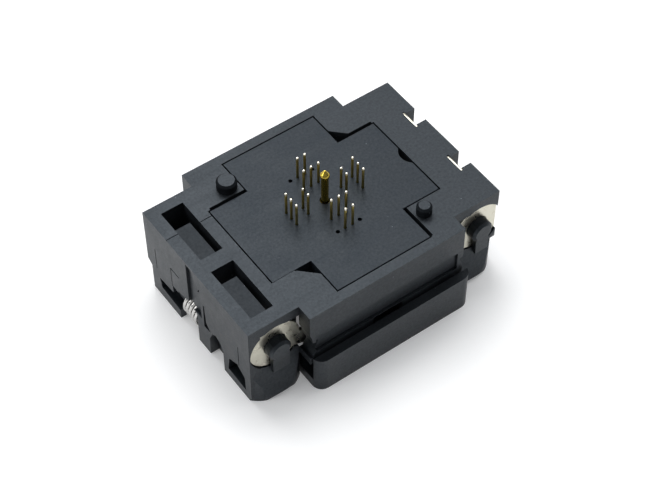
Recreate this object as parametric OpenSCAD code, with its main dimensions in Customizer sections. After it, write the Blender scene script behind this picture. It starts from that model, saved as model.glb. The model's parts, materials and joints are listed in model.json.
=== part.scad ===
// Open-top burn-in socket for a small leadless chip, lying on its moving cover with its pins up.
// The housing's seating face, which goes on the circuit board, is the horizontal face at seat_z.
// The cover's outer face rests at z = 0. X runs along the socket, from one latch to the other.

/* [Housing] */
// Length of the housing
housing_l = 34; // [33.6:0.1:36]
// Distance that the ends' sides stand out past the arms
end_out = 0.25; // [0.1:0.05:0.4]
// Length of the wide middle part of the housing
middle_l = 21; // [19:0.5:21]
// Width of the wide middle part of the housing
middle_w = 24.8; // [24.2:0.1:24.9]
// Height of the seating face above the cover's outer face
seat_z = 12.5; // [12.3:0.1:13.5]
// Thickness of the housing's floor plate
floor_t = 1.5; // [1.2:0.1:2]
// Thickness of the end walls
end_wall_t = 1.5; // [1.2:0.1:1.8]
// Thickness of the side walls
side_wall_t = 1.1; // [0.8:0.1:1.2]
// Height of the side walls' lower edge above the cover's outer face
side_wall_z = 4.2; // [4.1:0.1:5]
// Distance of the contact field's centre from the housing's centre, along X
field_x = 0.4; // [0:0.1:0.5]
// Thickness of the solid block that carries the coring pockets at the left end
end_block_t = 3.9; // [3.6:0.1:4.2]

/* [Locating bosses] */
// Distance of each boss from the field's centre, along X
boss_x = 7.8; // [7.7:0.1:8.2]
// Distance of each boss from the field's centre, along Y
boss_y = 7.9; // [7.7:0.1:8.4]
// Diameter of the large boss
boss_big_d = 2.4; // [2:0.1:2.5]
// Diameter of the small boss
boss_small_d = 1.8; // [1.4:0.1:2]
// Height of both bosses
boss_h = 1.3; // [1:0.1:2]
// Lead-in chamfer at the bosses' tips
boss_chamfer = 0.25; // [0.1:0.05:0.4]

/* [Lever arms] */
// Distance of the pivots from the housing's end planes
pivot_in = 3.1; // [3:0.05:3.2]
// Height of the pivots above the cover's outer face
pivot_z = 7.95; // [7.8:0.05:8.1]
// Diameter of the moulded pivots
pivot_d = 2.8; // [2.4:0.1:3.4]
// Diameter of the arms' round eyes
eye_d = 6.5; // [6:0.1:6.6]
// Thickness of the steel arms
arm_t = 0.5; // [0.3:0.05:0.6]
// Distance of the arms' inner faces from the inside of the side walls
arm_in = 1.7; // [1.65:0.05:1.8]
// Width of the arms' bars
arm_w = 2.2; // [2:0.1:2.6]
// Distance of the arms' drive pins from the field's centre, along X
drive_x = 2.2; // [2:0.1:3]
// Height of the arms' drive pins above the cover's outer face
drive_z = 3; // [2.9:0.1:3.2]
// Diameter of the arms' drive pins
drive_d = 1; // [0.8:0.1:1.1]

/* [Corner feet] */
// Distance of the webs' inner edges from the housing's end planes
foot_in = 3.4; // [3.2:0.1:3.5]
// Distance that the feet stand out past the straps
foot_out = 0.65; // [0.5:0.05:0.8]
// Radius of the fronts of the two feet that are flush with an end face
foot_r = 4.65; // [4.4:0.05:4.8]
// Radius of the fronts of the two feet that stand in from an end face
foot_r_in = 3.85; // [3.6:0.05:4]
// Thickness of the straps that join the pivots to the feet, past the arms
strap_t = 0.6; // [0.5:0.05:0.8]
// Height up to which the end walls are narrow behind two of the feet
foot_h = 4.6; // [4:0.1:4.8]
// Height of the feet beside the arms' eyes
foot_top = 6.6; // [6:0.1:7]
// Length of the pivots beyond the arms
pivot_out = 1.3; // [1:0.1:1.8]

/* [Contact module] */
// Length of the cross-shaped module plate
module_l = 22.6; // [20:0.2:22.8]
// Width of the cross-shaped module plate
module_w = 22; // [18:0.2:22.2]
// Added width of the plate's arms that run along Y, over the block's width
module_more_x = 0.9; // [0.7:0.1:1.2]
// Added width of the plate's arms that run along X, over the block's width
module_more_y = 0.6; // [0.5:0.1:1]
// Wall thickness of that block
block_wall = 0.9; // [0.5:0.1:1]
// Depth of the block below the plate
block_h = 3.6; // [3.2:0.1:3.8]

/* [Contacts] */
// Spacing of the chip's pads
pad_pitch = 0.5; // [0.4:0.05:0.55]
// Contacts on each side of the chip
per_side = 5; // [5]
// Distance of the inner rows of pins from the centre
inner_row = 2.6; // [2.4:0.05:2.9]
// Distance of the outer rows of pins from the centre
outer_row = 4.52; // [4.2:0.02:4.54]
// Distance of the outer rows of pins from the inside of the block
row_in = 0.38; // [0.3:0.02:0.4]
// Diameter of the pins
pin_d = 0.3; // [0.2:0.02:0.34]
// Length of the pins beyond the seating face
pin_out = 3.27; // [2.5:0.1:4]
// Thickness of the contact springs
contact_t = 0.2; // [0.1:0.02:0.26]
// Distance of the contact tips from the centre
tip_r = 1.9; // [1.8:0.05:2]

/* [Ground probe] */
// Diameter of the probe's shaft
probe_d = 0.87; // [0.7:0.01:0.95]
// Diameter of the probe's pointed head
probe_head_d = 1.1; // [1:0.05:1.3]
// Length of the probe beyond the seating face
probe_out = 4.91; // [4.5:0.1:6]
// Stroke of the probe's shaft
probe_stroke = 1.5; // [0.5:0.1:1.6]
// Stroke of the probe's chip-side plunger
foot_stroke = 0.4; // [0.2:0.05:0.5]

/* [Cover] */
// Distance of the cover's ends from the housing's end planes
cover_in = 4; // [3.9:0.1:4.5]
// Width of the cover
cover_w = 27.4; // [27.2:0.1:28.4]
// Added length of the cover's wide wings, over the housing's middle part
wing_more = 0.4; // [0:0.1:0.4]
// Radius of the wings' upright corners
cover_r = 1.3; // [0.8:0.1:2]
// Thickness of the cover's plate
cover_t = 1.4; // [1:0.1:1.4]
// Height of the cover's rim
rim_h = 5.3; // [3:0.1:5.5]
// Distance of the opening's ends from the housing's end planes
opening_in = 7.7; // [7.6:0.1:7.8]
// Width of the opening for the chip
opening_w = 16; // [15:0.1:16]
// Stroke of the cover towards the housing
stroke = 2.5; // [1.5:0.1:2.5]

/* [Guide posts] */
// Distance of the guide posts from the housing's end planes
post_in = 5.9; // [5.8:0.05:6]
// Distance of the guide posts from the field's centre, along Y
post_y = 6.2; // [5.8:0.1:6.4]
// Diameter of the guide posts
post_d = 2; // [1.6:0.1:2.1]
// Height of the guide posts' ends
post_z = 7.6; // [7.4:0.1:8]
// Lower end of the housing's guide bushes
bush_z = 6.6; // [6.2:0.1:7]
// Wire diameter of the cover springs
spring_wire = 0.3; // [0.2:0.02:0.32]

/* [Stop plates] */
// Width of the notches at the right end
notch_w = 2.1; // [1.8:0.1:2.4]
// Depth of those notches
notch_depth = 1.3; // [1:0.1:1.5]
// Distance of the plates' lower edges from the seating face
plate_h = 6.3; // [5:0.1:6.5]
// Thickness of the plates
plate_t = 0.25; // [0.2:0.05:0.3]

/* [Latches] */
// Distance of the latch shafts from the housing's end planes
latch_in = 9.8; // [9.7:0.05:9.9]
// Height of the latch shafts above the cover's outer face
latch_z = 5.2; // [5.1:0.05:5.3]
// Diameter of the latch shafts
shaft_d = 1.2; // [0.9:0.1:1.3]
// Diameter of the latches' hubs
hub_d = 2.2; // [2:0.1:2.3]
// Thickness of the housing's walls that hold the latch shafts
cheek_t = 1.1; // [0.8:0.05:1.1]
// Distance of the latch noses from the centre
nose_x = 1.65; // [1.5:0.05:1.8]
// Length of the latches' tails from the shaft
tail_l = 2.7; // [2.6:0.05:2.75]

/* [Latch springs] */
// Distance of the spring spindles from the housing's end faces
spindle_in = 2.1; // [2:0.05:2.2]
// Height of the spring spindles above the cover's outer face
spindle_z = 2.9; // [2.8:0.05:3]
// Diameter of the spring spindles
spindle_d = 2.8; // [2:0.1:3]
// Wire diameter of the latch springs
coil_wire = 0.5; // [0.4:0.02:0.52]
// Mean diameter of the latch springs' coils
coil_d = 3.9; // [3.8:0.1:4]
// Turns of the latch springs
coil_turns = 5; // [3:1:5]

/* [Nest] */
// Thickness of the nest
nest_t = 1.4; // [1:0.1:1.4]
// Height of the face that the chip lies against
nest_z = 5.6; // [5.5:0.05:5.7]
// Width of the chip
chip_w = 4; // [3.8:0.1:4.2]
// Thickness of the chip
chip_t = 0.85; // [0.7:0.05:0.9]
// Travel of the nest
nest_stroke = 0.3; // [0.1:0.05:0.35]

/* [Clearances] */
// Gap round the module plate
module_gap = 0.15; // [0.1:0.01:0.2]
// Running clearance on a radius
run_gap = 0.05; // [0.03:0.01:0.08]
// Clearance between parts that move past each other
slide_gap = 0.15; // [0.1:0.01:0.2]

/* [Hidden] */
$fn = 48;
eps = 0.01;
sides = ["left", "right"];
corners = ["front_left", "front_right", "back_left", "back_right"];
contact_count = 4 * per_side;
function side_of(c) = c == "front_left" || c == "back_left" ? "left" : "right";
function two(n) = str(n < 10 ? "0" : "", n);

plastic = "#3a3d42";
steel = "#c9cacb";
gold = "#c9a24a";

floor_z = seat_z - floor_t;              // underside of the floor plate
half_l = housing_l / 2;
pivot_x = half_l - pivot_in;             // pivots, from the field's centre
foot_x = half_l - foot_in;
post_x = half_l - post_in;
latch_x = half_l - latch_in;
cover_l = 2 * (half_l - cover_in);
wing_l = middle_l + wing_more;
opening_l = 2 * (half_l - opening_in);
arm_y = middle_w / 2 - side_wall_t - arm_in;
web_y = arm_y - run_gap;                 // corner web that the arms' eyes lie against
web_t = 1.35;
recess_d = eye_d + 0.2;                  // round recess about each eye
arm_out_y = arm_y + arm_t;
half_w = arm_out_y + end_out;
pivot_end = arm_out_y + pivot_out;
strap_y = arm_out_y + slide_gap;         // inner face of the straps past the arms
foot_w = 2 * (strap_y + strap_t + foot_out);
block_z = floor_z - block_h;
cavity_w = 2 * (outer_row + row_in);
block_w = cavity_w + 2 * block_wall;     // the block about the contacts, and all that is fitted to it
module_arm_x = block_w + module_more_x;
module_arm_y = block_w + module_more_y;
nest_w = block_w - 2 * slide_gap;
cheek_y = block_w / 2 + 0.2;             // inner faces of the walls that hold the latch shafts
cheek_l = latch_x + hub_d / 2 + 0.7;     // half the length of those walls
latch_w = 2 * (cheek_y - 0.2);           // width of the latches
nose_z = nest_z - chip_t;                // face of the chip that the noses press on
tail_t = 1.2;
rib_x = opening_l / 2;                   // edge of the cover that lifts the tails
rib_z = latch_z - tail_t / 2 - 0.3;
rim_gap = 0.25;                          // between the cover's rim and the housing's side wall
coil_y = 0.45;                           // first turn of a latch spring
coil_pitch = coil_wire + 0.06;
coil_len = coil_turns * coil_pitch;
lug_t = 1.3;                             // lugs that hold the spring spindles
lug_wall = 0.9;
lug_near = coil_y - slide_gap;
lug_far = coil_y + coil_len + 0.5;
function end_x(side) = half_l + (side == "left" ? field_x : -field_x);   // end face, from the field's centre
function spindle_x(side) = end_x(side) - spindle_in;
function lug_in(side) = spindle_x(side) - spindle_d / 2 - lug_wall;      // the lugs' inner edge

// ---- shapes used by several pieces ----

module field() translate([field_x, 0, 0]) children();

// Turns the children round to the right-hand end.
module at_end(side) field() rotate(side == "right" ? 180 : 0) children();

// Mirrors the children, drawn for the front left corner, into the named corner.
module at_corner(c)
    field()
    mirror([c == "front_right" || c == "back_right" ? 1 : 0, 0, 0])
    mirror([0, c == "back_left" || c == "back_right" ? 1 : 0, 0])
    children();

module box(x0, x1, y0, y1, z0, z1) translate([x0, y0, z0]) cube([x1 - x0, y1 - y0, z1 - z0]);

// A rectangle with round corners, about the origin.
module round_rect(l, w, r) {
    square([l - 2 * r, w], center = true);
    square([l, w - 2 * r], center = true);
    for (x = [-1, 1], y = [-1, 1]) translate([x * (l / 2 - r), y * (w / 2 - r)]) circle(r);
}

// A cross of two rectangles, about the origin.
module cross(l, w, arm_x, arm_y_w) {
    square([l, arm_y_w], center = true);
    square([arm_x, w], center = true);
}

// A disc or bar seen along Y, from y0 to y1: its drawing's X and Y become X and Z.
module across(y0, y1) translate([0, y1, 0]) rotate([90, 0, 0]) linear_extrude(y1 - y0) children();

function unit(v) = v / norm(v);
function turned(v) = [-v.y, v.x];

// The outline of a strip of the given width that follows a path.
function strip_side(path, h) = [for (i = [0:len(path) - 1])
    let (a = unit(path[min(i + 1, len(path) - 1)] - path[min(i, len(path) - 2)]),
         b = unit(path[max(i, 1)] - path[max(i - 1, 0)]),
         m = unit(turned(a) + turned(b)))
    path[i] + m * h / (m * turned(a))];
function reversed(v) = [for (i = [len(v) - 1:-1:0]) v[i]];
module strip(path, w) polygon(concat(strip_side(path, w / 2), reversed(strip_side(path, -w / 2))));

// A round wire along a path that winds about the given axis.
module wire(path, d, axis, facets = 8) {
    n = len(path);
    rings = [for (i = [0:n - 1])
        let (t = unit(path[min(i + 1, n - 1)] - path[max(i - 1, 0)]),
             u = unit(cross_product(t, axis)),
             v = cross_product(t, u))
        for (k = [0:facets - 1])
            path[i] + d / 2 * (cos(360 * k / facets) * u + sin(360 * k / facets) * v)];
    skin = [for (i = [0:n - 2], k = [0:facets - 1])
        let (a = i * facets, b = a + facets, q = (k + 1) % facets)
        [a + k, b + k, b + q, a + q]];
    ends = [[for (k = [0:facets - 1]) k], [for (k = [facets - 1:-1:0]) (n - 1) * facets + k]];
    polyhedron(rings, concat(skin, ends), convexity = 10);
}
function cross_product(a, b) = cross(a, b);

// An upright compression spring about the Z axis.
module coil_spring(d, wire_d, z0, z1, turns) {
    rise = z1 - z0 - wire_d - 2 * eps;
    steps = 16 * turns;
    wire([for (i = [0:steps]) let (a = 360 * i / 16)
        [d / 2 * cos(a), d / 2 * sin(a), z0 + eps + wire_d / 2 + rise * i / steps]],
        wire_d, [0, 0, 1]);
}

// ---- the housing ----

module housing_outline() {
    square([housing_l, 2 * half_w], center = true);
    square([middle_l, middle_w], center = true);
}

module side_walls() {
    for (m = [0, 1]) mirror([0, m, 0]) {
        box(-middle_l / 2, middle_l / 2, middle_w / 2 - side_wall_t, middle_w / 2, side_wall_z, seat_z);
        for (x = [-middle_l / 2, middle_l / 2 - 0.9])
            box(x, x + 0.9, arm_out_y + 0.25, middle_w / 2, side_wall_z, seat_z);
    }
}

// Each end wall is narrower behind the foot at one of its corners.
module end_walls() {
    for (a = [0, 180]) rotate(a) translate([-half_l, 0, 0]) rotate([90, 0, 90])
        linear_extrude(end_wall_t)
        polygon([[0.5 - half_w, 0], [-half_w, 0.6], [-half_w, seat_z], [half_w, seat_z], [half_w, foot_h], [web_y, foot_h - 0.6],
                 [web_y, 0]]);
    box(-half_l, -half_l + end_block_l, -web_y, web_y, seat_z - end_block_t, seat_z);
}

// Feet that are flush with an end face stand at two opposite corners.
function flush(c) = c == "front_left" || c == "back_right";

// Drawn for the front left corner, with the end face at -end.
module corner_foot(c, end) {
    r = flush(c) ? foot_r : foot_r_in;
    box(-end, -pivot_x + 3.2, -web_y, -web_y + web_t, 7.3, seat_z);
    box(-end, -foot_x, -web_y, -web_y + web_t, 0, seat_z);
    // the foot: round in plan, and leaning out from the arm's plane towards its lower edge
    intersection() {
        linear_extrude(foot_top) difference() {
            translate([-end + foot_in, -foot_w / 2 + r]) circle(r = r);
            translate([-end - foot_w, -foot_w]) square([foot_w, 2 * foot_w]);
            translate([-wing_l / 2 - 0.2, -foot_w]) square([foot_w, 2 * foot_w]);
            translate([-end, -web_y]) square([foot_w, foot_w]);
        }
        translate([-end, 0, 0]) rotate([90, 0, 90]) linear_extrude(2 * r)
            polygon([[0, 0], [0.4 - foot_w / 2, 0], [-foot_w / 2, 0.6], [-strap_y, foot_h], [-strap_y, foot_top],
                     [0, foot_top]]);
    }
}

// A strap in front of the arm's eye, from the foot up to the pivot.
module pivot_strap(c) translate([-pivot_x, -strap_y - strap_t, 0]) across(0, strap_t) {
    out = flush(c) ? 0.8 : 1.3;       // how far the strap reaches towards the end face and away from it
    in = flush(c) ? 1.4 : 0.5;
    polygon([[-out, foot_h - 0.6], [in, foot_h - 0.6], [in, pivot_z - 0.2], [0, pivot_z + 0.4],
             [-out, pivot_z - 0.2]]);
}

// Clears the arm's eye and the root of its bar.
module eye_recess() translate([-pivot_x, -web_y - 4, pivot_z]) across(0, 4) {
    circle(d = recess_d);
    rotate(-arm_tilt) translate([0, -arm_w / 2 - slide_gap])
        square([recess_d / 2 + 0.8, arm_w + 2 * slide_gap]);
}

module pivot_stub() translate([-pivot_x, -web_y + eps, pivot_z]) rotate([90, 0, 0]) {
    cylinder(d = pivot_d, h = pivot_end - web_y - 0.3 + eps);
    translate([0, 0, pivot_end - web_y - 0.3]) cylinder(d1 = pivot_d, d2 = pivot_d - 0.6, h = 0.3);
}

// The walls that hold the latch shafts, and the bushes for the guide posts.
module inner_frame() {
    for (m = [0, 1]) mirror([0, m, 0]) {
        box(-cheek_l, cheek_l, cheek_y, cheek_y + cheek_t, latch_z + 0.6, floor_z + eps);
        for (x = [-latch_x, latch_x]) translate([x, 0, latch_z]) across_cheek() circle(d = hub_d);
        for (x = [-post_x, post_x]) translate([x, post_y, bush_z])
            cylinder(d = post_d + 1.5, h = floor_z - bush_z + eps);
    }
}
module across_cheek() across(cheek_y, cheek_y + cheek_t) children();

// Lugs that hold the spindle of a latch spring.
module spindle_lugs(side) at_end(side) for (y = [lug_near - lug_t, lug_far])
    box(-end_x(side) + 0.2, -lug_in(side), y, y + lug_t, spindle_z - spindle_d / 2 - 0.4, floor_z + eps);

// Openings of the left end wall, as outlines in Y and Z.
window_left = [[3.2, 1.4], [3.2, 4.6], [5.1, 4.8], [5.1, 3.5], [8, 3.2], [7.7, 1.7]];
window_right = [[-9.3, 1.2], [-9.2, 3.4], [-7.8, 4.4], [-6.2, 3.6], [-5.9, 1.4]];
arch = [[-5, -1], [-5, 3.4], [-4.5, 4.5], [-3.6, 4.9], [-2.9, 4.4], [-2.3, 3], [-2.2, -1]];
coil_gap = [[coil_y - 0.35, -1], [coil_y - 0.35, 4.8], [0.9, 5.45], [1.7, 5.6], [2.6, 5.3],
    [3.9, 5], [3.9, -1]];
middle_step = [[-0.9, 5.2], [-0.9, 8.3], [-0.1, 10.6], [0.7, 12.2], [1.65, 12.2], [1.65, 5.2]];

// Cuts a Y and Z outline into the left end's outer face, to the given depth.
module end_cut(points, depth) translate([-half_l - eps, 0, 0])
    rotate([90, 0, 90]) linear_extrude(depth + eps) polygon(points);

module end_wall_cuts() {
    for (w = [window_left, window_right, coil_gap]) end_cut(w, end_wall_t + eps);
    end_cut(arch, 1.1);
    end_cut(middle_step, 0.35);
    for (z = [-0.2, 0.2]) translate([-half_l - eps, -0.45, 10.3 + z]) rotate([0, 90, 0])
        cylinder(d = 0.85, h = 1.2);
    end_cut([[5.1, 4.7], [5.1, 7.8], [5.22, 7.8], [5.22, 4.7]], 0.25);
    end_cut([[3.4, 7.8], [3.4, 7.95], [5.22, 7.95], [5.22, 7.8]], 0.25);
    end_cut([[-1.6, 8.1], [-1.38, 8.1], [-1.3, 4.2], [-2.6, 4.3], [-1.75, 5.3]], 1);
    for (y = [-8.2, 8.35]) end_cut([[y, 4.6], [y, 8], [y + 0.12, 8], [y + 0.12, 4.6]], 0.25);
}

end_block_l = 4.9;
// Coring pockets in the seating face at the left end.
pocket_x = [0.95 - half_l, 4 - half_l];
module end_pockets() field() {
    for (p = [[0.95, 8.95, 2.4], [-8.65, -1.05, 1.6]]) {
        box(pocket_x[0] + 0.2, pocket_x[1] - 0.6, p[0], p[1], seat_z - 0.7, seat_z + 1);
        // a slot and a well that go on through the end block
        box(pocket_x[1] - 0.65, pocket_x[1], p[0], p[1], seat_z - end_block_t - eps, seat_z + 1);
        box(pocket_x[0] + 0.2, pocket_x[1] - 0.3, p[1] - p[2], p[1], seat_z - end_block_t - eps, seat_z + 1);
    }
}

// Notches of the right end, each with a slot for a stop plate.
notch_y = [4.1, -4.15];
plate_slot_x = half_l - notch_depth - plate_t - 0.05;
module end_notches() for (y = notch_y) {
    box(half_l - notch_depth, half_l + 1, y - notch_w / 2, y + notch_w / 2, -1, seat_z + 1);
    box(plate_slot_x, half_l - notch_depth + eps, y - notch_w / 2 - 0.3, y + notch_w / 2 + 0.3,
        seat_z - plate_h, seat_z + 1);
}

panel_z = [6.05, 8.7];                   // recessed panels of the side walls
wide_gap = 0.42;
seam_y = 5.45;
seam_w = 0.12;
// Triangular coring holes at two inner corners of the cross, and other marks of the seating face.
module seat_cuts() field() {
    translate([0, 0, floor_z - eps]) linear_extrude(floor_t + 1) {
        cross(module_l + 2 * module_gap, module_w + 2 * module_gap,
              module_arm_x + 2 * module_gap, module_arm_y + 2 * module_gap);
        for (s = [-1, 1]) translate([s * module_arm_x / 2, s * module_arm_y / 2]) scale([s, s])
            polygon([[0, 0], [2.2, 0], [0, 2.2]]);
        // wider gaps beside the plate's arms
        for (x = [-module_l / 2 + 0.2, module_arm_x / 2])
            translate([x, module_arm_y / 2]) square([(module_l - module_arm_x) / 2 - 0.1, wide_gap]);
        translate([module_arm_x / 2, -module_w / 2]) square([wide_gap, (module_w - module_arm_y) / 2]);
    }
    // a fine seam from the end face to the plate
    box(-half_l - 1, -module_l / 2, seam_y - seam_w / 2, seam_y + seam_w / 2,
        seat_z - 0.08, seat_z + 1);
}

module base_housing() color(plastic) {
    difference() {
        union() {
            translate([0, 0, floor_z]) linear_extrude(floor_t) housing_outline();
            side_walls();
            end_walls();
            field() inner_frame();
            for (c = corners) at_corner(c) corner_foot(c, end_x(side_of(c)));
            for (s = sides) spindle_lugs(s);
        }
        for (c = corners) at_corner(c) eye_recess();
        seat_cuts();
        end_pockets();
        end_notches();
        end_wall_cuts();
        rotate(180) end_cut(coil_gap, end_wall_t + eps);
        field() for (x = [-1, 1]) {
            for (y = [-1, 1]) translate([x * post_x, y * post_y, bush_z - 1])
                cylinder(d = post_d + 2 * run_gap, h = floor_z - bush_z + 1 - eps);
            translate([x * latch_x, 0, latch_z]) across(-cheek_y - 5, cheek_y + 5)
                circle(d = shaft_d + 0.04);
        }
        for (s = sides) at_end(s) translate([-spindle_x(s), 0, spindle_z])
            across(-4, 7) circle(d = spindle_d + 0.04);
        // recessed panel and centre notch of each side wall
        for (m = [0, 1]) mirror([0, m, 0]) {
            box(-middle_l / 2 + 0.8, middle_l / 2 - 0.8, middle_w / 2 - 0.3, middle_w / 2 + 1,
                panel_z[0], panel_z[1]);
            box(-2, 2, middle_w / 2 - side_wall_t - 1, middle_w / 2 + 1, 0, side_wall_z + 1.7);
        }
    }
    for (c = corners) at_corner(c) {
        pivot_stub();
        pivot_strap(c);
    }
    // the plate is a close fit along one edge
    field() box(-module_l / 2 - module_gap - eps, -module_arm_x / 2 - 2.2, -module_arm_y / 2 - module_gap - eps,
                -module_arm_y / 2 - 0.03, floor_z, seat_z);
    field() {
        translate([-boss_x, boss_y, seat_z - eps]) locating_boss(boss_big_d);
        translate([boss_x, -boss_y, seat_z - eps]) locating_boss(boss_small_d);
    }
}

module locating_boss(d) {
    cylinder(d = d, h = boss_h - boss_chamfer + eps);
    translate([0, 0, boss_h - boss_chamfer + eps]) cylinder(d1 = d, d2 = d - 2 * boss_chamfer, h = boss_chamfer);
}

// ---- the contact module and its contacts ----

// The row that a contact stands in: the rows alternate, and start the other way on the Y sides.
function row_r(side, i) = (i + side) % 2 == 0 ? outer_row : inner_row;
function offset_of(i) = (i - (per_side - 1) / 2) * pad_pitch;

module at_contact(n) {
    side = floor((n - 1) / per_side);
    i = (n - 1) % per_side;
    field() rotate(90 * side) translate([0, offset_of(i), 0]) children();
}

module contact_module() color(plastic) difference() {
    field() union() {
        translate([0, 0, floor_z]) linear_extrude(floor_t)
            cross(module_l, module_w, module_arm_x, module_arm_y);
        translate([-block_w / 2, -block_w / 2, block_z]) cube([block_w, block_w, block_h + eps]);
    }
    field() translate([-cavity_w / 2, -cavity_w / 2, block_z - 1]) cube([cavity_w, cavity_w, block_h + 1]);
    for (n = [1:contact_count]) at_contact(n)
        translate([row_r(floor((n - 1) / per_side), (n - 1) % per_side), 0, floor_z - 1])
            cylinder(d = pin_d + 0.08, h = floor_t + 2, $fn = 24);
    for (k = [0, 1], s = [-1, 1]) field() rotate(180 * k + 90)
        translate([outer_row, s * 1.5, floor_z - 1]) cylinder(d = pin_d + 0.2, h = floor_t + 2, $fn = 24);
    field() translate([0, 0, floor_z - 1]) cylinder(d = barrel_d + 0.04, h = floor_t + 2);
    // shallow round bite in the right-hand edge
    field() translate([module_l / 2 + 1.1, 0, floor_z - 1]) cylinder(r = 1.7, h = floor_t + 2);
}

module contact(n) color(gold) {
    r = row_r(floor((n - 1) / per_side), (n - 1) % per_side);
    tip_z = nest_z + 0.15;
    at_contact(n) {
        translate([r, 0, floor_z - 0.3]) cylinder(d = pin_d, h = floor_t + pin_out + 0.3 - 0.12, $fn = 24);
        translate([r, 0, seat_z + pin_out - 0.12]) cylinder(d1 = pin_d, d2 = pin_d * 0.5, h = 0.12, $fn = 24);
        translate([0, contact_t / 2, 0]) rotate([90, 0, 0]) linear_extrude(contact_t)
            strip([[r, floor_z - 0.05], [r, floor_z - 1.1], [r - 0.35, floor_z - 1.5],
                   [tip_r + 0.45, block_z + 1.4], [tip_r + 0.45, block_z + 0.8],
                   [tip_r, block_z + 0.2], [tip_r, tip_z]], 0.22);
    }
}

// ---- the ground probe ----

barrel_d = probe_d + 0.28;
barrel_z = block_z;
module probe_barrel() color(gold) field() difference() {
    translate([0, 0, barrel_z]) cylinder(d = barrel_d, h = seat_z - 0.6 - barrel_z);
    translate([0, 0, barrel_z + 0.3]) cylinder(d = probe_d + 2 * run_gap, h = seat_z);
    translate([0, 0, barrel_z - 1]) cylinder(d = probe_d * 0.6 + 2 * run_gap, h = 3);
}

module probe_shaft() color(gold) field() {
    head_h = 0.9;
    translate([0, 0, seat_z - 2]) cylinder(d = probe_d, h = 2 + probe_out - head_h);
    translate([0, 0, seat_z + probe_out - head_h]) cylinder(d = probe_head_d, h = 0.3);
    translate([0, 0, seat_z + probe_out - head_h + 0.3]) cylinder(d1 = probe_head_d, d2 = 0.12, h = head_h - 0.3);
}

module probe_foot() color(gold) field() {
    translate([0, 0, barrel_z + 0.32]) cylinder(d = probe_d, h = 0.3);
    translate([0, 0, nest_z - 0.1]) cylinder(d = probe_d * 0.6, h = barrel_z + 0.33 - nest_z + 0.1);
}

module probe_spring() color(steel) field()
    coil_spring(probe_d - 0.25, 0.12, barrel_z + 0.62, seat_z - 2, 5);

// ---- the cover and its springs ----

module cover_outline() {
    square([cover_l, 2 * (web_y - slide_gap)], center = true);      // between the corner feet
    round_rect(wing_l, cover_w, cover_r);
}

module cover() color(plastic) field() {
    difference() {
        union() {
            linear_extrude(cover_t) cover_outline();
            linear_extrude(rim_h) difference() {
                cover_outline();
                square([2 * cover_l, middle_w + 2 * rim_gap], center = true);
            }
        }
        translate([0, 0, -1]) linear_extrude(cover_t + 2) square([opening_l, opening_w], center = true);
        // lead-in slope round the opening
        for (m = [0, 1]) mirror([0, m, 0]) translate([0, opening_w / 2, 0])
            rotate([45, 0, 0]) cube([opening_l - 0.4, 0.7, 0.7], center = true);
        // notches that clear the housing's lugs and the coils between them
        for (s = sides) rotate(s == "right" ? 180 : 0)
            box(-cover_l, -lug_in(s) + slide_gap, lug_near - lug_t - slide_gap, lug_far + lug_t + slide_gap,
                -1, rim_h + 1);
    }
    for (x = [-1, 1]) {
        for (y = [-1, 1]) translate([x * post_x, y * post_y, cover_t - eps])
            cylinder(d = post_d, h = post_z - cover_t + eps);
        mirror([x > 0 ? 1 : 0, 0, 0]) box(-rib_x - 1, -rib_x, -4, 4, cover_t - eps, rib_z);
        for (m = [0, 1]) mirror([0, m, 0]) {
            box(x * drive_x - 1, x * drive_x + 1, arm_out_y + slide_gap, arm_out_y + slide_gap + 0.8,
                cover_t - eps, drive_z + 0.9);
            translate([x * drive_x, 0, drive_z]) across(arm_y - 0.1, arm_out_y + slide_gap + eps)
                circle(d = drive_d);
        }
    }
}

module cover_spring(c) color(steel) at_corner(c) translate([-post_x, -post_y, 0])
    coil_spring(post_d + 0.7, spring_wire, cover_t, bush_z, 5);

// ---- the lever arms ----

rest_len = norm([pivot_x - drive_x, pivot_z - drive_z]);
pressed_len = norm([pivot_x - drive_x, pivot_z - drive_z - stroke]);
arm_tilt = atan2(pivot_z - drive_z, pivot_x - drive_x);
module lever_arm(c) color(steel) at_corner(c) {
    flat_x = end_x(side_of(c));
    translate([0, -arm_out_y - arm_y, 0]) across(arm_y, arm_out_y) intersection() {
        translate([-pivot_x, pivot_z]) rotate(-arm_tilt) difference() {
            union() {
                circle(d = eye_d);
                translate([0, -arm_w / 2]) square([rest_len, arm_w]);
                translate([rest_len, 0]) circle(d = arm_w);
            }
            circle(d = pivot_d + 2 * run_gap);
            for (l = [rest_len + 0.1, pressed_len - 0.1]) translate([l, 0]) circle(d = drive_d + 0.24);
            translate([pressed_len - 0.1, -drive_d / 2 - 0.12])
                square([rest_len - pressed_len + 0.2, drive_d + 0.24]);
        }
        translate([-flat_x, -half_l]) square(housing_l + seat_z);
    }
}

// ---- the latches, their shafts and their springs ----

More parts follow.
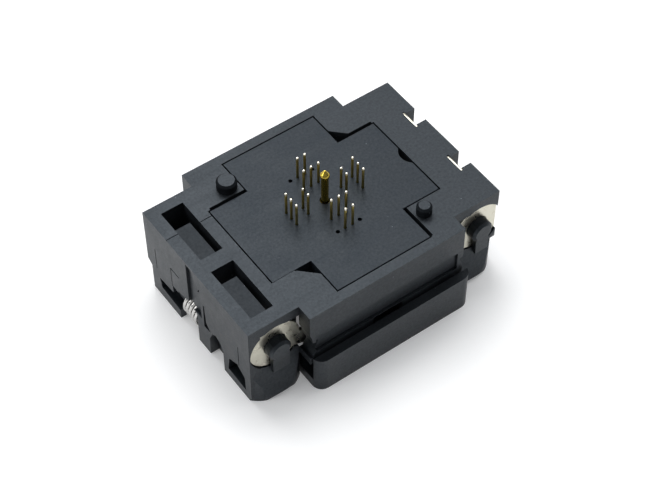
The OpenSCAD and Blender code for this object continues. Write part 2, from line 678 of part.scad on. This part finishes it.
module latch(side) color(plastic) at_end(side) difference() {
    union() {
        translate([-latch_x, 0, latch_z]) across(-latch_w / 2, latch_w / 2) {
            circle(d = hub_d);
            translate([-tail_l, -tail_t / 2]) square([tail_l, tail_t]);
            polygon([[0, -hub_d / 2], [hub_d / 2, 0], [1.9, nose_z - 0.35 - latch_z],
                     [latch_x - nose_x - 1.8, nose_z - 0.35 - latch_z], [latch_x - nose_x - 1.8, -1.9],
                     [1.4, -1.9]]);
        }
        translate([-latch_x, 0, latch_z]) across(-1.2, 1.2)
            polygon([[1.4, -1.9], [2, nose_z - 0.4 - latch_z], [latch_x - nose_x - 1.2, nose_z - 0.35 - latch_z],
                     [latch_x - nose_x - 0.9, nose_z - latch_z], [latch_x - nose_x, nose_z - latch_z],
                     [latch_x - nose_x, nose_z - latch_z - 0.8], [latch_x - nose_x - 1.2, -1.9]]);
    }
    translate([-latch_x, 0, latch_z]) across(-latch_w, latch_w) circle(d = shaft_d + 2 * run_gap);
    // tail only as wide as the cover's rib
    for (m = [0, 1]) mirror([0, m, 0])
        box(-latch_x - tail_l - 1, -latch_x - hub_d / 2, 4.2, latch_w, 0, seat_z);
}

module latch_shaft(side) color(steel) at_end(side) translate([-latch_x, 0, latch_z])
    across(-cheek_y - cheek_t, cheek_y + cheek_t) circle(d = shaft_d);

module spring_spindle(side) color(plastic) at_end(side) translate([-spindle_x(side), 0, spindle_z])
    across(lug_near - lug_t, lug_far + lug_t) circle(d = spindle_d);

module latch_spring(side) color(steel) at_end(side) {
    r = coil_d / 2;
    first = coil_y + coil_wire / 2;
    x = -spindle_x(side);
    turn = function (a) [x + r * cos(a), first + coil_pitch * (a - 90) / 360, spindle_z + r * sin(a)];
    last = 90 + 360 * (coil_turns - 0.25);
    leg_top = (side == "left" ? seat_z - end_block_t : floor_z) - 0.1;
    tail_end = [-latch_x - tail_l + 0.5, first, latch_z + tail_t / 2 + coil_wire / 2 + 0.2];
    wire(concat([tail_end, turn(80) + [0.3, 0, 0.05]],
                [for (a = [90:18:last]) turn(a)],
                [[x + r, turn(last).y + 0.02, leg_top]]),
         coil_wire, [0, 1, 0]);
}

// ---- the floating nest ----

module nest() color(plastic) field() difference() {
    union() {
        translate([-nest_w / 2, -nest_w / 2, nest_z]) cube([nest_w, nest_w, nest_t]);
        for (x = [0, 1], y = [0, 1]) mirror([x, 0, 0]) mirror([0, y, 0])
            box(1.45, chip_w / 2 + 0.9, 1.45, chip_w / 2 + 0.9, nest_z - 0.6, nest_z + eps);
    }
    translate([-chip_w / 2 - 0.05, -chip_w / 2 - 0.05, nest_z - 2]) cube([chip_w + 0.1, chip_w + 0.1, 2]);
    for (k = [0:3]) rotate(90 * k) box(tip_r - 0.5, tip_r + 0.85, -1.25, 1.25, nest_z - 1, nest_z + nest_t + 1);
    translate([0, 0, nest_z - 1]) cylinder(d = probe_d * 0.6 + 0.3, h = nest_t + 2);
}

module nest_spring(c) color(steel) at_corner(c)
    translate([-(block_w - block_wall) / 2, -(block_w - block_wall) / 2, 0])
    coil_spring(0.45, 0.12, nest_z + nest_t, block_z, 2);

// ---- the stop plates in the right end's notches ----

module stop_plate(y) color(steel)
    box(plate_slot_x + 0.05, half_l - notch_depth, y - notch_w / 2 - 0.25, y + notch_w / 2 + 0.25,
        seat_z - plate_h, seat_z - 0.1);

base_housing();
contact_module();
for (n = [1:contact_count]) contact(n);
probe_barrel();
probe_spring();
probe_shaft();
probe_foot();
cover();
for (c = corners) cover_spring(c);
for (c = corners) lever_arm(c);
for (s = sides) latch(s);
for (s = sides) latch_shaft(s);
for (s = sides) spring_spindle(s);
for (s = sides) latch_spring(s);
nest();
for (c = corners) nest_spring(c);
stop_plate(notch_y[1]);  // stop_plate_front
stop_plate(notch_y[0]);  // stop_plate_back
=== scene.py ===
import json
import math

import bmesh
import bpy
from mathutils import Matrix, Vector


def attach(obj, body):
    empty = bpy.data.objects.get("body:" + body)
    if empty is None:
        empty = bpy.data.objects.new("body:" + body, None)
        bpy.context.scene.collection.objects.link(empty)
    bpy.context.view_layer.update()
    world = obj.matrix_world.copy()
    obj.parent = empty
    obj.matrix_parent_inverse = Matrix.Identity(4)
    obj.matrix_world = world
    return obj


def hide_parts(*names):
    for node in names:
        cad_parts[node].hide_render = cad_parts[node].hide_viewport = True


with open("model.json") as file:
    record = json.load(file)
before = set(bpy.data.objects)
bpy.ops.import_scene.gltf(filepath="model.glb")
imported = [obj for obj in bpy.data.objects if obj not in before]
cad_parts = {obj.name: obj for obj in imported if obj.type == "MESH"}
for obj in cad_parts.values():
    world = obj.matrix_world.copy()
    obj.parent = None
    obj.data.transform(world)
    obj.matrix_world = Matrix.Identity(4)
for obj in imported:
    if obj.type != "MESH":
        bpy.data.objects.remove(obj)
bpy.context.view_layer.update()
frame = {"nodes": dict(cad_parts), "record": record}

nodes = frame["nodes"]
MM = 0.001
SEAT_Z = 12.5 * MM   # the face that goes on the circuit board
PIN_TOP_Z = 15.77 * MM

# ---------------------------------------------------------------- housing
# The housing is one injection moulding in black glass-filled plastic. Its edges have the small
# radius that a mould leaves, and its faces the fine, slightly streaky skin of a filled resin.


def from_hex(text):
    """A colour written as sRGB hex, as linear values with alpha."""
    parts = [int(text[i:i + 2], 16) / 255 for i in (1, 3, 5)]
    return [c / 12.92 if c <= 0.04045 else ((c + 0.055) / 1.055) ** 2.4 for c in parts] + [1]


def add(material, kind, settings=(), **links):
    """Adds a node to a material. A link's value is a socket, or a number or colour."""
    made = material.node_tree.nodes.new("ShaderNode" + kind)
    for name, value in dict(settings).items():
        setattr(made, name, value)
    for name, value in links.items():
        key = int(name[1:]) if name[1:].isdigit() else name.replace("_", " ")
        socket = made.inputs[key]
        if isinstance(value, bpy.types.NodeSocket):
            material.node_tree.links.new(value, socket)
        else:
            socket.default_value = value
    return made


def new_material(name):
    """An empty material with its shader, ready for add()."""
    material = bpy.data.materials.new(name)
    material.use_nodes = True
    return material, material.node_tree.nodes["Principled BSDF"]


def link(material, output, socket):
    material.node_tree.links.new(output, socket)


def moulded_plastic(name, dark, pale, roughness, streak_turn, shine=0.46):
    """Glass-filled moulding resin: near black, satin, with flow streaks and a fine grain."""
    material, shader = new_material(name)
    place = add(material, "TexCoord").outputs["Object"]
    # flow streaks run along the mould's fill direction, about 1 mm wide and 8 mm long
    flow = add(material, "Mapping", Vector=place, Rotation=(0, 0, streak_turn),
               Scale=(120, 900, 500)).outputs["Vector"]
    streaks = add(material, "TexNoise", Vector=flow, Scale=1.0, Detail=3.0).outputs["Fac"]
    # blotches of 3 mm where the resin's skin is a little duller
    blotches = add(material, "TexNoise", Vector=place, Scale=330.0, Detail=2.0).outputs["Fac"]
    # grain of the mould's spark-eroded faces, 0.12 mm
    grain = add(material, "TexNoise", Vector=place, Scale=8000.0, Detail=2.0).outputs["Fac"]
    tone = add(material, "Math", {"operation": "ADD"}, _0=streaks, _1=blotches).outputs[0]
    tone = add(material, "Math", {"operation": "MULTIPLY_ADD"}, _0=grain, _1=0.5, _2=tone).outputs[0]
    spread = add(material, "MapRange", Value=tone, From_Min=0.85, From_Max=1.65).outputs["Result"]
    colour = add(material, "Mix", {"data_type": "RGBA"}, _0=spread, _6=from_hex(dark),
                 _7=from_hex(pale)).outputs[2]
    # specks of bare glass fibre and dust, under 0.1 mm across
    cells = add(material, "TexVoronoi", Vector=place, Scale=1500.0).outputs["Distance"]
    rare = add(material, "TexNoise", Vector=place, Scale=900.0, Detail=0.0).outputs["Fac"]
    small = add(material, "Math", {"operation": "LESS_THAN"}, _0=cells, _1=0.09).outputs[0]
    few = add(material, "Math", {"operation": "GREATER_THAN"}, _0=rare, _1=0.72).outputs[0]
    speck = add(material, "Math", {"operation": "MULTIPLY"}, _0=small, _1=few).outputs[0]
    speck = add(material, "Math", {"operation": "MULTIPLY"}, _0=speck, _1=0.35).outputs[0]
    colour = add(material, "Mix", {"data_type": "RGBA"}, _0=speck, _6=colour,
                 _7=from_hex("#8d949c")).outputs[2]
    link(material, colour, shader.inputs["Base Color"])
    rough = add(material, "MapRange", Value=tone, From_Min=0.85, From_Max=1.65,
                To_Min=roughness - 0.05, To_Max=roughness + 0.07).outputs["Result"]
    link(material, rough, shader.inputs["Roughness"])
    bump = add(material, "Bump", Strength=0.25, Distance=0.00002, Height=grain).outputs["Normal"]
    link(material, bump, shader.inputs["Normal"])
    # painted shade: upward faces below the seating face get half the sheen, so that the recessed floors
    # render darker, and faces above it that are not upward lose their sheen, so that the boss sides render
    # black
    height = add(material, "SeparateXYZ", Vector=place).outputs["Z"]
    normal = add(material, "NewGeometry").outputs["Normal"]
    slope = add(material, "SeparateXYZ", Vector=normal).outputs["Z"]
    upward = add(material, "Math", {"operation": "GREATER_THAN"}, _0=slope, _1=0.8).outputs[0]
    painted_dark_boss_sides = add(material, "MapRange", Value=height, From_Min=SEAT_Z, From_Max=SEAT_Z + 0.1 * MM,
                To_Min=shine, To_Max=0.02).outputs["Result"]
    painted_shade_on_floors = add(material, "MapRange", Value=height, From_Min=SEAT_Z - 0.3 * MM,
                 From_Max=SEAT_Z - 0.1 * MM, To_Min=0.5 * shine, To_Max=shine).outputs["Result"]
    level = add(material, "Mix", _0=upward, _2=painted_dark_boss_sides, _3=painted_shade_on_floors).outputs[0]
    # handling and fine dust leave the sheen mottled, in spots of 0.2 to 0.6 mm
    spots = add(material, "TexNoise", Vector=place, Scale=3200.0, Detail=2.0, Roughness=0.7).outputs["Fac"]
    mottle = add(material, "MapRange", Value=spots, From_Min=0.3, From_Max=0.7, To_Min=0.78,
                 To_Max=1.26).outputs["Result"]
    level = add(material, "Math", {"operation": "MULTIPLY"}, _0=level, _1=mottle).outputs[0]
    link(material, level, shader.inputs["Specular IOR Level"])
    shader.inputs["Specular Tint"].default_value = from_hex("#d9e6f2")
    return material


def copy_of(node):
    """The mesh of a CAD node as a bmesh of its own, with its seams merged."""
    shape = bmesh.new()
    shape.from_mesh(nodes[node].data)
    bmesh.ops.remove_doubles(shape, verts=shape.verts, dist=0.002 * MM)
    return shape


def as_piece(shape, node, name, material, smooth_below):
    """Turns a bmesh into the piece that stands for a CAD node."""
    for face in shape.faces:
        face.smooth = True
        face.material_index = 0
    for e in shape.edges:
        e.smooth = e.calc_face_angle(0) < math.radians(smooth_below)
    mesh = bpy.data.meshes.new(name)
    shape.to_mesh(mesh)
    shape.free()
    mesh.materials.clear()
    mesh.materials.append(material)
    piece = bpy.data.objects.new(name, mesh)
    bpy.context.scene.collection.objects.link(piece)
    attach(piece, body_of[node])
    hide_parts(node)
    return piece


def dressed_copy(node, name, edge, material):
    """A copy of a CAD node with its convex edges rounded as moulding or stamping leaves them."""
    shape = copy_of(node)
    bmesh.ops.dissolve_limit(shape, angle_limit=math.radians(0.5), verts=shape.verts, edges=shape.edges)
    sharp = {e for e in shape.edges if len(e.link_faces) == 2 and e.is_convex
             and e.calc_face_angle(0) > math.radians(35)}
    short = {e for e in sharp if e.calc_length() < 2.5 * edge}
    # edges that run into the short chords of a round hole stay sharp with them
    corners = [e for e in sharp - short if not any(n in short for v in e.verts for n in v.link_edges)]
    bmesh.ops.bevel(shape, geom=corners, offset=edge, segments=2, profile=0.5, affect="EDGES",
                    clamp_overlap=True, material=-1)
    piece = as_piece(shape, node, name, material, smooth_below=32)
    level = piece.modifiers.new("face_normals", "WEIGHTED_NORMAL")
    level.keep_sharp = True
    level.weight = 100


body_of = {n: body for body, group in frame["record"]["behaviour"]["bodies"].items() for n in group}

black_resin = moulded_plastic("black_glass_filled_resin", "#121417", "#1f2225", 0.45, 0.0)
dressed_copy("base_housing", "housing_moulding", 0.1 * MM, black_resin)

# ---------------------------------------------------------------- contact module
# The cross-shaped insert is moulded in the same resin in a finer tool, so it is a shade bluer
# and smoother than the housing about it.
module_resin = moulded_plastic("module_resin", "#0f1317", "#191e24", 0.42, math.pi / 2, shine=0.33)
dressed_copy("contact_module", "module_moulding", 0.06 * MM, module_resin)

# ---------------------------------------------------------------- contacts
# Stamped copper-alloy contacts, gold plated. Plating over rolled metal is bright and a little
# uneven, and the top of each pin is painted near white as a painted highlight.


def plated_metal(name, colour, worn, roughness, grain_mm):
    """Bright metal with faint marks of rolling or turning."""
    material, shader = new_material(name)
    place = add(material, "TexCoord").outputs["Object"]
    marks = add(material, "TexNoise", Vector=place, Scale=1.0 / (grain_mm * MM), Detail=3.0).outputs["Fac"]
    mixed = add(material, "Mix", {"data_type": "RGBA"}, _0=marks, _6=from_hex(worn),
                _7=from_hex(colour)).outputs[2]
    link(material, mixed, shader.inputs["Base Color"])
    rough = add(material, "MapRange", Value=marks, To_Min=roughness - 0.06,
                To_Max=roughness + 0.08).outputs["Result"]
    link(material, rough, shader.inputs["Roughness"])
    bump = add(material, "Bump", Strength=0.15, Distance=0.000005, Height=marks).outputs["Normal"]
    link(material, bump, shader.inputs["Normal"])
    shader.inputs["Metallic"].default_value = 1.0
    return material


def round_copy(node, name, material, finer=0):
    """A copy of a CAD node with its curved faces smooth, and divided finer where it is a bent wire."""
    piece = as_piece(copy_of(node), node, name, material, smooth_below=50)
    if finer:
        divided = piece.modifiers.new("finer", "SUBSURF")
        divided.levels = divided.render_levels = finer


gold = plated_metal("gold_plated_copper_alloy", "#c9b871", "#94864a", 0.3, 0.3)
# painted highlight: the base colour fades to near white towards the top of the pins
shader = gold.node_tree.nodes["Principled BSDF"]
plain = shader.inputs["Base Color"].links[0].from_socket
place = add(gold, "TexCoord").outputs["Object"]
height = add(gold, "SeparateXYZ", Vector=place).outputs["Z"]
tip_highlight_mask = add(gold, "MapRange", Value=height, From_Min=PIN_TOP_Z - 0.32 * MM,
          From_Max=PIN_TOP_Z - 0.12 * MM).outputs["Result"]
painted_tip_highlight = add(gold, "Mix", {"data_type": "RGBA"}, _0=tip_highlight_mask, _6=plain, _7=from_hex("#fff9e6")).outputs[2]
link(gold, painted_tip_highlight, shader.inputs["Base Color"])
contact_nodes = sorted(n for n in nodes if n.startswith("contact_") and n != "contact_module")
for node in contact_nodes:
    round_copy(node, node.replace("contact_", "gold_contact_"), gold)

# ---------------------------------------------------------------- ground probe
# A turned, gold-plated spring probe: barrel, pointed shaft, chip-side plunger and its spring.
probe_gold = plated_metal("gold_plated_brass", "#dcc25a", "#b79f3c", 0.2, 0.2)
for node in ("probe_barrel", "probe_shaft", "probe_foot"):
    round_copy(node, "turned_" + node, probe_gold)

# ---------------------------------------------------------------- cover
# The outer cover slides on four posts. It is moulded in the housing's resin.
dressed_copy("cover", "cover_moulding", 0.1 * MM, black_resin)

# ---------------------------------------------------------------- lever arms and plates
# Arms and stop plates are stamped from bright rolled stainless sheet and tumbled.
stainless = plated_metal("tumbled_stainless_sheet", "#d6d3c5", "#bfbbaa", 0.28, 0.6)
for corner in ("front_left", "front_right", "back_left", "back_right"):
    dressed_copy("lever_arm_" + corner, "arm_" + corner, 0.05 * MM, stainless)
for node in ("stop_plate_front", "stop_plate_back"):
    dressed_copy(node, "stamped_" + node, 0.03 * MM, stainless)

# ---------------------------------------------------------------- latches, nest and shafts
# Latches, nest and spindles are moulded; the latch shafts are ground steel pins.
for node in ("latch_left", "latch_right", "nest"):
    dressed_copy(node, node + "_moulding", 0.06 * MM, module_resin)
for side in ("left", "right"):
    dressed_copy("spring_spindle_" + side, "spindle_" + side, 0.1 * MM, module_resin)
    dressed_copy("latch_shaft_" + side, "ground_shaft_" + side, 0.1 * MM, stainless)

# ---------------------------------------------------------------- springs
# Drawn stainless spring wire, bright from the die.
spring_wire = plated_metal("drawn_spring_wire", "#d2d1cf", "#b9b8b5", 0.2, 0.4)
for node in sorted(n for n in nodes if "spring" in n and "spindle" not in n):
    round_copy(node, "wound_" + node, spring_wire, finer=1)

# ---------------------------------------------------------------- stage, lights and camera
# A plain white table. The main soft box stands high at the back, with a weaker one on each side.
floor_mesh = bpy.data.meshes.new("table_top")
shape = bmesh.new()
bmesh.ops.create_grid(shape, x_segments=1, y_segments=1, size=1.5)
shape.to_mesh(floor_mesh)
shape.free()
floor = bpy.data.objects.new("table_top", floor_mesh)
bpy.context.scene.collection.objects.link(floor)
white_board, shader = new_material("white_board")
shader.inputs["Base Color"].default_value = from_hex("#f4f4f4")
shader.inputs["Roughness"].default_value = 0.9
shader.inputs["Specular IOR Level"].default_value = 0.1
ray = add(white_board, "LightPath")
seen = add(white_board, "Math", {"operation": "MAXIMUM"}, _0=ray.outputs["Is Camera Ray"],
           _1=ray.outputs["Is Glossy Ray"]).outputs[0]
seen = add(white_board, "Math", {"operation": "MAXIMUM"}, _0=seen,
           _1=ray.outputs["Is Transmission Ray"]).outputs[0]
glow = add(white_board, "Math", {"operation": "MULTIPLY"}, _0=seen, _1=0.16).outputs[0]
shader.inputs["Emission Color"].default_value = from_hex("#ffffff")
link(white_board, glow, shader.inputs["Emission Strength"])
floor_mesh.materials.append(white_board)


def soft_light(name, place, size, power, colour="#ffffff"):
    """A square soft box that faces the object."""
    lamp = bpy.data.lights.new(name, "AREA")
    lamp.shape = "SQUARE"
    lamp.size = size
    lamp.energy = power
    lamp.color = from_hex(colour)[:3]
    holder = bpy.data.objects.new(name, lamp)
    holder.location = place
    holder.rotation_euler = (Vector((0, 0, 0.008)) - Vector(place)).to_track_quat("-Z", "Y").to_euler()
    bpy.context.scene.collection.objects.link(holder)


soft_light("left_box", (-0.30, 0.10, 0.16), 0.18, 0.36)
soft_light("back_box", (0.05, 0.22, 0.40), 0.30, 1.5)
soft_light("right_box", (0.28, 0.00, 0.32), 0.30, 0.5)

world = bpy.data.worlds.new("studio")
bpy.context.scene.world = world
world.use_nodes = True
back = world.node_tree.nodes["Background"]
# the room is dim at eye level and brighter overhead
place = world.node_tree.nodes.new("ShaderNodeTexCoord")
split = world.node_tree.nodes.new("ShaderNodeSeparateXYZ")
level = world.node_tree.nodes.new("ShaderNodeMapRange")
world.node_tree.links.new(place.outputs["Generated"], split.inputs[0])
world.node_tree.links.new(split.outputs["Z"], level.inputs["Value"])
level.inputs["From Min"].default_value = 0.05
level.inputs["From Max"].default_value = 0.8
level.inputs["To Min"].default_value = 0.06
level.inputs["To Max"].default_value = 0.50
world.node_tree.links.new(level.outputs["Result"], back.inputs["Strength"])
back.inputs["Color"].default_value = from_hex("#f1f4f8")

turn = math.radians(-35.905)
rise = math.radians(51.348)
aim = Vector((-3.205, -5.304, 12.5)) * MM
away = Vector((math.sin(turn) * math.cos(rise), -math.cos(turn) * math.cos(rise), math.sin(rise)))
lens = bpy.data.cameras.new("camera")
lens.sensor_width = 36
lens.lens = 92.84
lens.clip_start = 0.005
camera = bpy.data.objects.new("camera", lens)
camera.location = aim + away * 183.04 * MM
camera.rotation_euler = (-away).to_track_quat("-Z", "Y").to_euler()
bpy.context.scene.collection.objects.link(camera)
bpy.context.scene.camera = camera
bpy.context.scene.view_settings.view_transform = "Standard"
